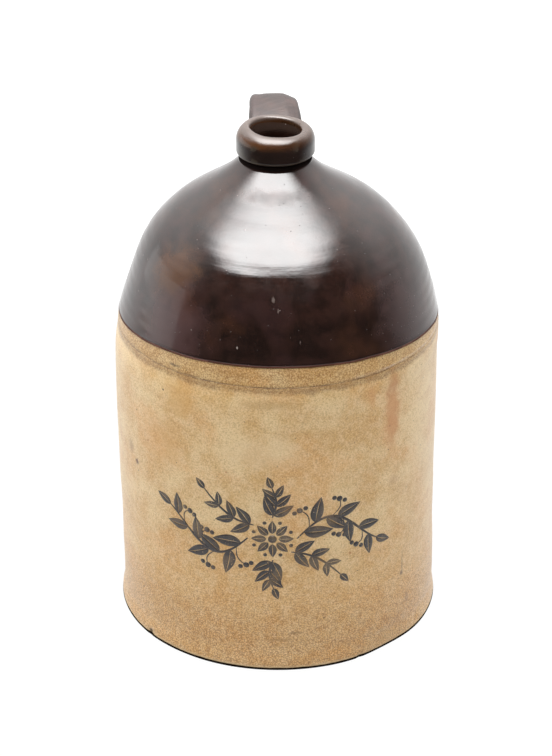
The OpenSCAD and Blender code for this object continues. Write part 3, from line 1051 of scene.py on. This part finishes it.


# %% [markdown]
# Salt-glazed buff clay is never one colour. Pale and warm patches the size of a thumb lie over
# each other, a fine pebble grain covers everything, a net of darker lines shows near the foot
# and on the band over the seam, and iron in the clay burst into small dark spots. Dirt settled in
# the seam. A pale line over the seam is a painted highlight, the wall's left and right sides are
# lightened as a painted sheen, and a near-black line at the foot is painted shade where the jug
# meets the floor, with some dirt in it. The group holds all of this, because the ink shows it
# where it is worn.

# %% Buff clay
SEAM_MM = SEAM_Z / MM
clay, given, out = new_group("buff_clay", LOOKS)
place = given["Vector"]
height = axis(place, 2)
band = span(times(grain(place, 12, 3, 14), 9.0, height), SEAM_MM - 1.5, SEAM_MM + 2.0)
low = span(height, 120, 30)
pale = span(grain(place, 26, 4), 0.38, 0.62)
looks = {"Colour": tint(pale, seen(209, 168, 108), seen(226, 197, 146))}
lay(looks, (217, 160, 94), span(grain(place, 34, 4, 7), 0.48, 0.64), 0.50)
wisps = span(grain(squeezed(place, 1, 1, 3.5), 24, 4, 17), 0.46, 0.64)
lay(looks, (196, 146, 90), wisps, 0.24)
lay(looks, (214, 162, 90), low, 0.55)
lay(looks, (237, 212, 168), span(grain(place, 5, 3, 12), 0.40, 0.66), 0.30)
net = node("TexVoronoi", {"Vector": place, "Scale": 0.62}, feature="DISTANCE_TO_EDGE").outputs["Distance"]
net = span(times(grain(place, 0.8), 0.2, net), 0.26, 0.10)
lay(looks, (134, 84, 42), net, times(span(height, 85, 15), 0.62, times(band, 0.62, 0.08)))
fine = grain(place, 1.0, 1.5, 3)
lay(looks, (132, 84, 42), span(fine, 0.48, 0.68), times(band, 0.38, times(low, 0.14, 0.32)))
lay(looks, (242, 216, 172), span(fine, 0.50, 0.32), 0.42)
lay(looks, (140, 112, 68), band, 0.34)
for spacing, size, shade in ((10, 0.8, (40, 20, 9)), (6, 0.45, (104, 58, 24)), (19, 1.3, (178, 116, 60))):
    lay(looks, shade, spot_mask(place, spacing, size, 1.0), 0.85)

# %% Dirt at the seam, a painted highlight above it, and painted shade with dirt at the foot
dirt = span(grain(place, 9, 3, 5), 0.34, 0.60)
dashes = span(grain(squeezed(place, 1, 1, 4), 6, 3, 15), 0.45, 0.62)
lay(looks, (92, 64, 38), close_to(height, SEAM_MM), times(dashes, 0.55, 0.10))
# Painted highlight: a pale line just above the seam, on the right side only, where the groove's upper
# edge catches the light.
painted_seam_highlight = times(close_to(height, SEAM_MM + 1.4), times(dashes, 0.3, 0.15))
lay(looks, (190, 176, 170), painted_seam_highlight, span(axis(place, 0), 30, 70))
under = times(span(height, SEAM_MM - 7, SEAM_MM - 3), span(height, SEAM_MM + 1, SEAM_MM - 1))
lay(looks, (150, 116, 82), times(under, dirt), 0.28)
foot_height = times(grain(place, 7, 2, 9), 0.8, height)
lay(looks, (226, 203, 166), span(foot_height, 4.6, 3.2), 0.55)
# Painted shade with dirt: the bottom few millimetres go near black, for the contact shadow where the foot
# meets the floor and dirt along its edge.
lay(looks, (24, 16, 12), span(foot_height, 3.0, 2.4))

# %% Stains, and a painted sheen at the sides
# Each row is angle, height, reach, raggedness, size of the fray, colour and share.
STAINS_AND_SHEEN = (
    (-48.4, 178, (10, 11, 38), 0.7, 4, (192, 118, 54), 0.62),
    (-48.4, 200, (8, 9, 12), 0.8, 4, (178, 120, 68), 0.40),
    (-58, 196, (4, 5, 12), 1.0, 4, (206, 146, 88), 0.40),
    (-47.5, 128, (6, 6, 6), 0.8, 4, (178, 128, 84), 0.35),
    (-131, 216, (7, 7, 1.3), 0.9, 2, (82, 66, 54), 0.70),
    (-124, 213, (9, 7, 1.2), 1.2, 2, (120, 92, 66), 0.45),
    (-135, 158, (22, 26, 24), 1.0, 12, (208, 154, 88), 0.35),
    (-96, 200, (30, 10, 5), 0.9, 8, (176, 142, 98), 0.35),
    (-98, 166, (36, 22, 17), 1.0, 12, (230, 204, 162), 0.45),
    # Painted sheen: the next two rows lighten the wall towards its right and left edges as seen from the
    # front.
    (-18, 120, (60, 60, 120), 1.0, 20, (232, 208, 168), 0.22),
    (-166, 120, (50, 50, 120), 1.0, 20, (232, 208, 168), 0.12),
    (-129, 194, (17, 17, 19), 1.0, 8, (202, 154, 86), 0.50),
    (-152, 130, (3, 3, 3.2), 1.4, 1.6, (92, 42, 16), 0.90),
    (-156, 138, (4, 5, 8), 1.6, 1.8, (132, 84, 50), 0.45),
    (-135.6, 196.3, (1.1, 1.1, 1.0), 0.4, 2, (40, 26, 20), 0.95),
    (-113.5, 42.4, (1.0, 1.0, 1.0), 0.4, 2, (58, 32, 20), 0.95),
    (-116.8, 16.4, (0.9, 0.9, 0.9), 0.4, 2, (86, 56, 34), 0.90),
    (-75.6, 38.5, (1.3, 1.3, 0.8), 0.5, 2, (52, 34, 24), 0.90),
    (-91.5, 24, (12, 6, 2.2), 1.1, 3, (150, 108, 60), 0.50),
    (-86, 29, (7, 5, 1.4), 1.1, 3, (128, 98, 58), 0.60),
    (-41.0, 60, (1.1, 1.1, 13), 0.7, 4, (120, 92, 70), 0.55),
    (-41.6, 52, (2.2, 2.2, 2.6), 0.8, 3, (96, 72, 56), 0.70),
    (-38, 30, (3, 3, 7), 1.2, 3, (140, 100, 72), 0.45),
    (-146, 3.4, (2.4, 2.4, 2.2), 0.6, 2, (44, 34, 28), 0.95),
)
for angle, z, reach, ragged, size, shade, share in STAINS_AND_SHEEN:
    lay(looks, shade, stain_mask(place, on_jug(wall_r, angle, z), reach, ragged, size), share)
looks["Roughness"] = maths("MAXIMUM", times(fine, 0.20, 0.22), span(foot_height, 3.2, 2.6))
looks["Height"] = times(fine, -0.02, times(net, -0.02))
put_out(out, looks)
print("buff clay uses", len(clay.nodes), "nodes")

# %% [markdown]
# The slip glaze is a clay rich in iron that melts to a dark skin. It is purple-brown to black
# where it is thick, umber where it ran thin, and full of pin holes and pale specks. Its gloss is
# high but uneven, so the reflection of a window has a crisp edge in one place and a soft one in
# another. Very shallow waves in the height bend the reflections.

# %% Slip glaze
slip, given, out = new_group("slip_glaze", LOOKS, Umber=0.5)
place = given["Vector"]
looks = {"Colour": tint(span(grain(place, 10, 3), 0.35, 0.65), seen(25, 13, 9), seen(40, 23, 18))}
lay(looks, (66, 40, 26), span(grain(place, 30, 3, 4), 0.50, 0.68), given["Umber"])
lay(looks, (52, 33, 32), span(grain(place, 22, 2, 8), 0.5, 0.7), 0.5)
mottle = grain(place, 1.2, 2, 2)
lay(looks, (66, 46, 38), span(mottle, 0.5, 0.7), 0.22)
pits = spot_mask(place, 5.5, 0.45, 1.0, 0.3)
lay(looks, (20, 12, 10), pits)
specks = spot_mask(place, 7.5, 0.42, 1.0, 0.8)
lay(looks, (168, 154, 148), specks, 0.7)
combed = plain_noise(squeezed(place, 0.04, 0.04, 0.7), 1.0, 2.0)[0]
waves = times(grain(place, 16, 2, 6), 0.14, times(grain(place, 1.8, 1, 1), 0.024))
looks["Height"] = times(pits, -0.10, times(combed, 0.035, waves))
slip_rough = times(span(grain(place, 13, 3, 11), 0.35, 0.7), 0.10, 0.07)
slip_rough = times(mottle, 0.06, times(pits, 0.5, slip_rough))
looks["Roughness"] = times(specks, 0.3, slip_rough)
put_out(out, looks)
print("slip glaze uses", len(slip.nodes), "nodes")

# %% [markdown]
# A finish is a Principled shader fed by one of the groups. What is the same all over, such as the
# index of refraction, is set on the shader. What belongs to one piece alone, such as the dark
# line at the edge of the glaze, is laid over the group's colour in that piece's own material.

# %% Building a finish
BUFF_IOR = 1.58
SLIP_IOR = 1.62


def finish(name, group, ior, dress=None, shine=0.5, **inputs):
    """A material from a group's colour, roughness and height, with a last change by dress."""
    made = bpy.data.materials.new(name)
    made.use_nodes = True
    tree = made.node_tree
    shader = tree.nodes["Principled BSDF"].inputs
    shader["IOR"].default_value = ior
    shader["Specular IOR Level"].default_value = shine
    place = node("TexCoord", tree=tree).outputs["Object"]
    place = vectors("MULTIPLY", place, (1 / MM, 1 / MM, 1 / MM))
    base = node("Group", {"Vector": place, **inputs}, node_tree=group).outputs
    looks = {label: base[label] for label in LOOKS}
    if dress:
        dress(place, looks)
    bump = node("Bump", {"Height": looks["Height"], "Strength": 1.0, "Distance": MM})
    tree.links.new(looks["Colour"], shader["Base Color"])
    tree.links.new(looks["Roughness"], shader["Roughness"])
    tree.links.new(bump.outputs["Normal"], shader["Normal"])
    print("finish", name)
    return made


# %% What sets the glazed pieces apart
LIP_MM = LIP_Z / MM
TOP_MM = TOP_Z / MM
# Each mark is angle, height, reach, colour and share.
DOME_MARKS_AND_SHEEN = (
    (-142, 268, (26, 28, 24), (78, 50, 30), 0.85),
    (-132, 252, (15, 16, 14), (70, 40, 27), 0.6),
    # The next two rows are purple-grey patches on the left and right flanks: partly the glaze's own tint,
    # partly a painted sheen.
    (-136, 236, (40, 38, 44), (78, 57, 56), 0.70),
    (-36, 240, (36, 36, 40), (74, 58, 57), 0.6),
    (-94, 265, (1.4, 2, 3.4), (120, 108, 102), 0.5),
    (-92, 259, (0.8, 2, 2), (120, 108, 102), 0.5),
    (-107, 236, (0.7, 1, 1.2), (180, 170, 164), 0.6),
    (-126, 241, (0.7, 1, 0.8), (180, 170, 164), 0.6),
    (-84, 240, (0.7, 1, 1.8), (130, 118, 112), 0.5),
)
DULL_PLACE = (-2, -36, 311)


def dome_dress(place, looks):
    """Umber patches, purple-grey flanks that are partly a painted sheen, painted shade under the lip,
    and the glaze's dark line at its lower edge.
    """
    for angle, z, reach, shade, share in DOME_MARKS_AND_SHEEN:
        mask = stain_mask(place, on_jug(dome_r, angle, z), reach, 0.9, max(reach) / 3)
        lay(looks, shade, mask, share)
    above_edge = node("Attribute", tree=place.id_data, attribute_name=EDGE_NAME).outputs["Fac"]
    lay(looks, (30, 13, 9), span(above_edge, 3.6, 1.2), 0.7)
    # Painted shade: the glaze in the gap under the lip is darkened almost to black.
    painted_shade_under_lip = span(axis(place, 2), LIP_MM - 4.2, LIP_MM - 3)
    lay(looks, (9, 5, 4), painted_shade_under_lip, 0.9)
    matt = maths("MAXIMUM", painted_shade_under_lip, span(above_edge, 1.8, 1.0))
    matt = maths("MAXIMUM", looks["Roughness"], matt)
    looks["Roughness"] = times(stain_mask(place, DULL_PLACE, (32, 20, 6), 0.7, 6), 0.28, matt)
    lay(looks, (88, 42, 17), span(above_edge, 1.5, 0.4))


def lip_dress(place, looks):
    """A pale rim, partly clay where the glaze ran off and partly a painted highlight, an amber break
    below it, a blackish side, and a painted reflection along the lip's lower edge.
    """
    side = axis(place, 0)
    height = axis(place, 2)
    ragged = times(grain(place, 5, 3, 2), 3.0, height)
    lay(looks, (27, 18, 13), 0.7)
    greenish = times(span(grain(place, 9, 3, 3), 0.44, 0.62), span(maths("ABSOLUTE", side), 6, 15))
    lay(looks, (74, 68, 58), greenish, 0.6)
    left_side = span(side, 10, -14)
    lay(looks, (74, 42, 16), span(ragged, TOP_MM - 7.0, TOP_MM - 2.0), times(left_side, 0.45, 0.45))
    # Pale rim: partly clay showing through thin glaze, partly a painted highlight on the lip's top.
    pale = times(span(ragged, TOP_MM - 2.0, TOP_MM + 1.0), times(left_side, 0.2, 0.7))
    lay(looks, (88, 76, 70), pale)
    looks["Roughness"] = times(pale, 0.26, looks["Roughness"])
    # Painted reflection: a thin pale line along the lip's lower edge.
    lay(looks, (110, 100, 90), close_to(height, LIP_MM + 1.2, 0.8), 0.5)


def throat_dress(place, looks):
    """The throat paler and greyer towards its top, darker further in."""
    lay(looks, (104, 86, 76), span(axis(place, 2), TOP_MM - 12, TOP_MM - 7), 0.30)


def strap_dress(place, looks):
    """A drier glaze that the fingers streaked slantwise."""
    turned = {"Vector": place, "Angle": math.radians(-28)}
    slant = node("VectorRotate", turned, rotation_type="Z_AXIS").outputs[0]
    streak = plain_noise(squeezed(slant, 0.10, 1.0, 0.35), 0.5, 3.0)[0]
    lay(looks, (60, 45, 42), span(streak, 0.45, 0.7), 0.6)
    looks["Roughness"] = times(streak, 0.20, maths("ADD", looks["Roughness"], 0.28))
    looks["Height"] = times(streak, 0.25, looks["Height"])


def lining_dress(place, looks):
    """The glaze poured round the inside, smoother and warmer than the outside."""
    lay(looks, (60, 34, 20), 0.4)


# %% What sets the ink and the bare clay apart
def ink_dress(place, looks):
    """Blue-black ink over the clay, rubbed away in specks and thinned in places."""
    thin = span(grain(place, 13, 2, 6), 0.30, 0.55, 0.82, 0.97)
    lay(looks, (24, 27, 37), span(grain(place, 0.8, 2, 5), 0.74, 0.64), thin)


def bare_dress(place, looks):
    """Unglazed clay out of sight: paler, greyer and dull."""
    lay(looks, (176, 160, 134), 0.4)
    looks["Roughness"] = maths("ADD", looks["Roughness"], 0.35)


# %% Giving each piece its finish
buff = finish("buff_stoneware", clay, BUFF_IOR)
bare = finish("bare_clay", clay, BUFF_IOR, bare_dress)
ink = finish("print_ink", clay, BUFF_IOR, ink_dress)
dome_slip = finish("dome_slip", slip, SLIP_IOR, dome_dress, Umber=0.5)
neck_slip = finish("neck_slip", slip, SLIP_IOR, throat_dress, Umber=0.3)
lip_slip = finish("lip_slip", slip, SLIP_IOR, lip_dress, Umber=0.3)
strap_slip = finish("strap_slip", slip, SLIP_IOR, strap_dress, Umber=0.5)
lining_slip = finish("lining_slip", slip, SLIP_IOR, lining_dress, Umber=0.8)
finishes = ((wall, buff), (dome, buff), (coat, dome_slip), (neck, neck_slip), (lip, lip_slip),
            (strap_piece, strap_slip), (ornament, ink), (nodes["corner_coil"], bare),
            (nodes["seam_lute"], bare), (nodes["inner_glaze_lining"], lining_slip))
for obj, material in finishes:
    obj.data.materials.clear()
    obj.data.materials.append(material)

# %% [markdown]
# Two narrow places never catch the light: the line where the foot meets the floor, and the gap
# under the lip. They wear the same clay and glaze with almost no shine, as a second material on
# those faces, because the shine of a surface is one plain number on its shader.

# %% Where no light gets in
FOOT_LINE = 2.8 * MM
SHELTER = 3.4 * MM
DRY = 0.03
foot_clay = finish("foot_clay", clay, BUFF_IOR, None, DRY)
sheltered_slip = finish("sheltered_slip", slip, SLIP_IOR, dome_dress, DRY, Umber=0.5)
dark_places = ((wall, foot_clay, -MM, FOOT_LINE), (coat, sheltered_slip, LIP_Z - SHELTER, TOP_Z))
for obj, material, low, high in dark_places:
    obj.data.materials.append(material)
    inside = [face for face in obj.data.polygons if low < face.center.z < high]
    for face in inside:
        face.material_index = 1
    print(material.name, "is on", len(inside), "faces of", obj.name)

# %% [markdown]
# The studio is the one that such photographs are taken in. One large soft box hangs over the
# jug, and its mirror image is the broad pale window on the dome. White paper stands behind and
# at both sides, and the room in front is dim, which leaves the middle of the dome dark. The soft
# box's mirror image and its light on the clay are two lamps, so that each can be set by itself,
# and the mirrored one fades towards its edges, as the cloth of a soft box does. A strip of lit
# paper at the left and a fill from the front finish the light.

# %% Floor
FLOOR_REACH = 0.5
FLOOR_SHADE = 0.25
PAPER_SHARE = 0.85
PAPER_GLOW = 1.12


def light_rays(tree):
    """Whether a ray comes from the camera, and whether it comes from a mirror or glass."""
    rays = node("LightPath", tree=tree).outputs
    return rays["Is Camera Ray"], maths("MAXIMUM", rays["Is Glossy Ray"], rays["Is Transmission Ray"])


bm = bmesh.new()
bmesh.ops.create_circle(bm, cap_ends=True, segments=64, radius=FLOOR_REACH)
floor = piece(bm, "floor")
paper = bpy.data.materials.new("floor_paper")
paper.use_nodes = True
tree = paper.node_tree
tree.nodes.clear()
bright = maths("MAXIMUM", *light_rays(tree))
diffuse = node("BsdfDiffuse", {"Color": (FLOOR_SHADE, FLOOR_SHADE, FLOOR_SHADE, 1)}, tree).outputs[0]
glow = node("Emission", {"Strength": PAPER_GLOW}, tree).outputs[0]
mix = node("MixShader", {0: times(bright, PAPER_SHARE), 1: diffuse, 2: glow}).outputs[0]
node("OutputMaterial", {"Surface": mix})
floor.data.materials.append(paper)

# %% Surround
DIM_FRONT = 0.06
PAPER_FILL = 1.3
SIDES = 1.2
CEILING = 1.7
world = bpy.data.worlds.new("studio")
bpy.context.scene.world = world
world.use_nodes = True
tree = world.node_tree
back = tree.nodes["Background"].inputs
back["Color"].default_value = (1, 1, 1, 1)
camera_ray, mirrored = light_rays(tree)
way = node("TexCoord", tree=tree).outputs["Generated"]
far_back = axis(way, 1)
to_left = times(axis(way, 0), -0.04, far_back)
sides = span(to_left, -0.35, 0.80, DIM_FRONT, SIDES)
above = span(to_left, -0.45, 0.50, DIM_FRONT, CEILING)
room = times(span(axis(way, 2), 0.15, 0.55), maths("SUBTRACT", above, sides), sides)
fill = span(far_back, -0.60, 0.60, PAPER_FILL * 0.12, PAPER_FILL)
light = times(mirrored, room, times(maths("SUBTRACT", 1.0, mirrored), fill))
tree.links.new(maths("MAXIMUM", camera_ray, light), back["Strength"])
print("floor and surround are ready")


# %% Lamps
def lamp(name, place, aim, size, radiance, seen_by=("diffuse", "glossy")):
    """A rectangular soft light that looks at a point, given by the brightness of its face."""
    data = bpy.data.lights.new(name, "AREA")
    data.shape = "RECTANGLE"
    data.size, data.size_y = size
    data.energy = radiance * math.pi * size[0] * size[1]
    made = bpy.data.objects.new(name, data)
    made.location = place
    made.rotation_mode = "QUATERNION"
    made.rotation_quaternion = (Vector(aim) - Vector(place)).to_track_quat("-Z", "Y")
    made.visible_camera = False
    made.visible_diffuse = "diffuse" in seen_by
    made.visible_glossy = "glossy" in seen_by
    bpy.context.scene.collection.objects.link(made)
    print(name, round(data.energy, 1), "W")
    return data


mirrored_box = lamp("soft_box_mirror", (-0.12, -0.15, 1.30), (-0.12, -0.15, 0), (2.00, 1.66), 14.5,
                    ("glossy",))
mirrored_box.use_nodes = True
tree = mirrored_box.node_tree
spot = node("NewGeometry", tree=tree).outputs["Position"]
spot_x = axis(spot, 0)
spot_y = axis(spot, 1)
sides = times(span(spot_x, -1.10, -0.52), span(spot_x, 0.86, 0.30))
corner = maths("SUBTRACT", maths("ABSOLUTE", maths("ADD", spot_x, 0.1)), 0.35)
front_edge = times(maths("MAXIMUM", corner, 0.0), -0.4, spot_y)
ends = times(span(front_edge, -0.90, -0.57), span(spot_y, 0.45, -0.20, 0.12, 1.0))
tree.links.new(times(sides, ends), tree.nodes["Emission"].inputs["Strength"])
lamp("soft_box", (-0.05, 0.05, 1.45), (-0.05, 0.05, 0), (2.4, 2.1), 3.9, ("diffuse",))
lamp("left_paper", (-1.6, 0.50, 0.30), (0, 0.50, 0.30), (1.6, 0.6), 0.6)
lamp("front_fill", (-0.3, -2.2, 1.6), (0, 0, 0.1), (1.6, 1.2), 3.0, ("diffuse",))

# %% [markdown]
# The camera stands a long way off and looks down, as a seller's photograph does.

# %% Camera
CAM_BACK = 1.5836
CAM_UP = 1.0138
CAM_TURN = math.radians(-2.5)
CAM_PITCH = 0.4934
FOCAL_PX = 2689.2
FRAME_H = 756
SENSOR = 36
SHIFT_PX = (-1, 1)
camera = bpy.data.objects.new("camera", bpy.data.cameras.new("camera"))
camera.location = (CAM_BACK * math.sin(CAM_TURN), -CAM_BACK * math.cos(CAM_TURN), CAM_UP)
camera.rotation_euler = (math.pi / 2 - CAM_PITCH, 0, CAM_TURN)
camera.data.sensor_width = SENSOR
camera.data.lens = FOCAL_PX * SENSOR / FRAME_H
camera.data.shift_x = SHIFT_PX[0] / FRAME_H
camera.data.shift_y = SHIFT_PX[1] / FRAME_H
bpy.context.scene.collection.objects.link(camera)
bpy.context.scene.camera = camera
bpy.context.scene.view_settings.view_transform = "Standard"
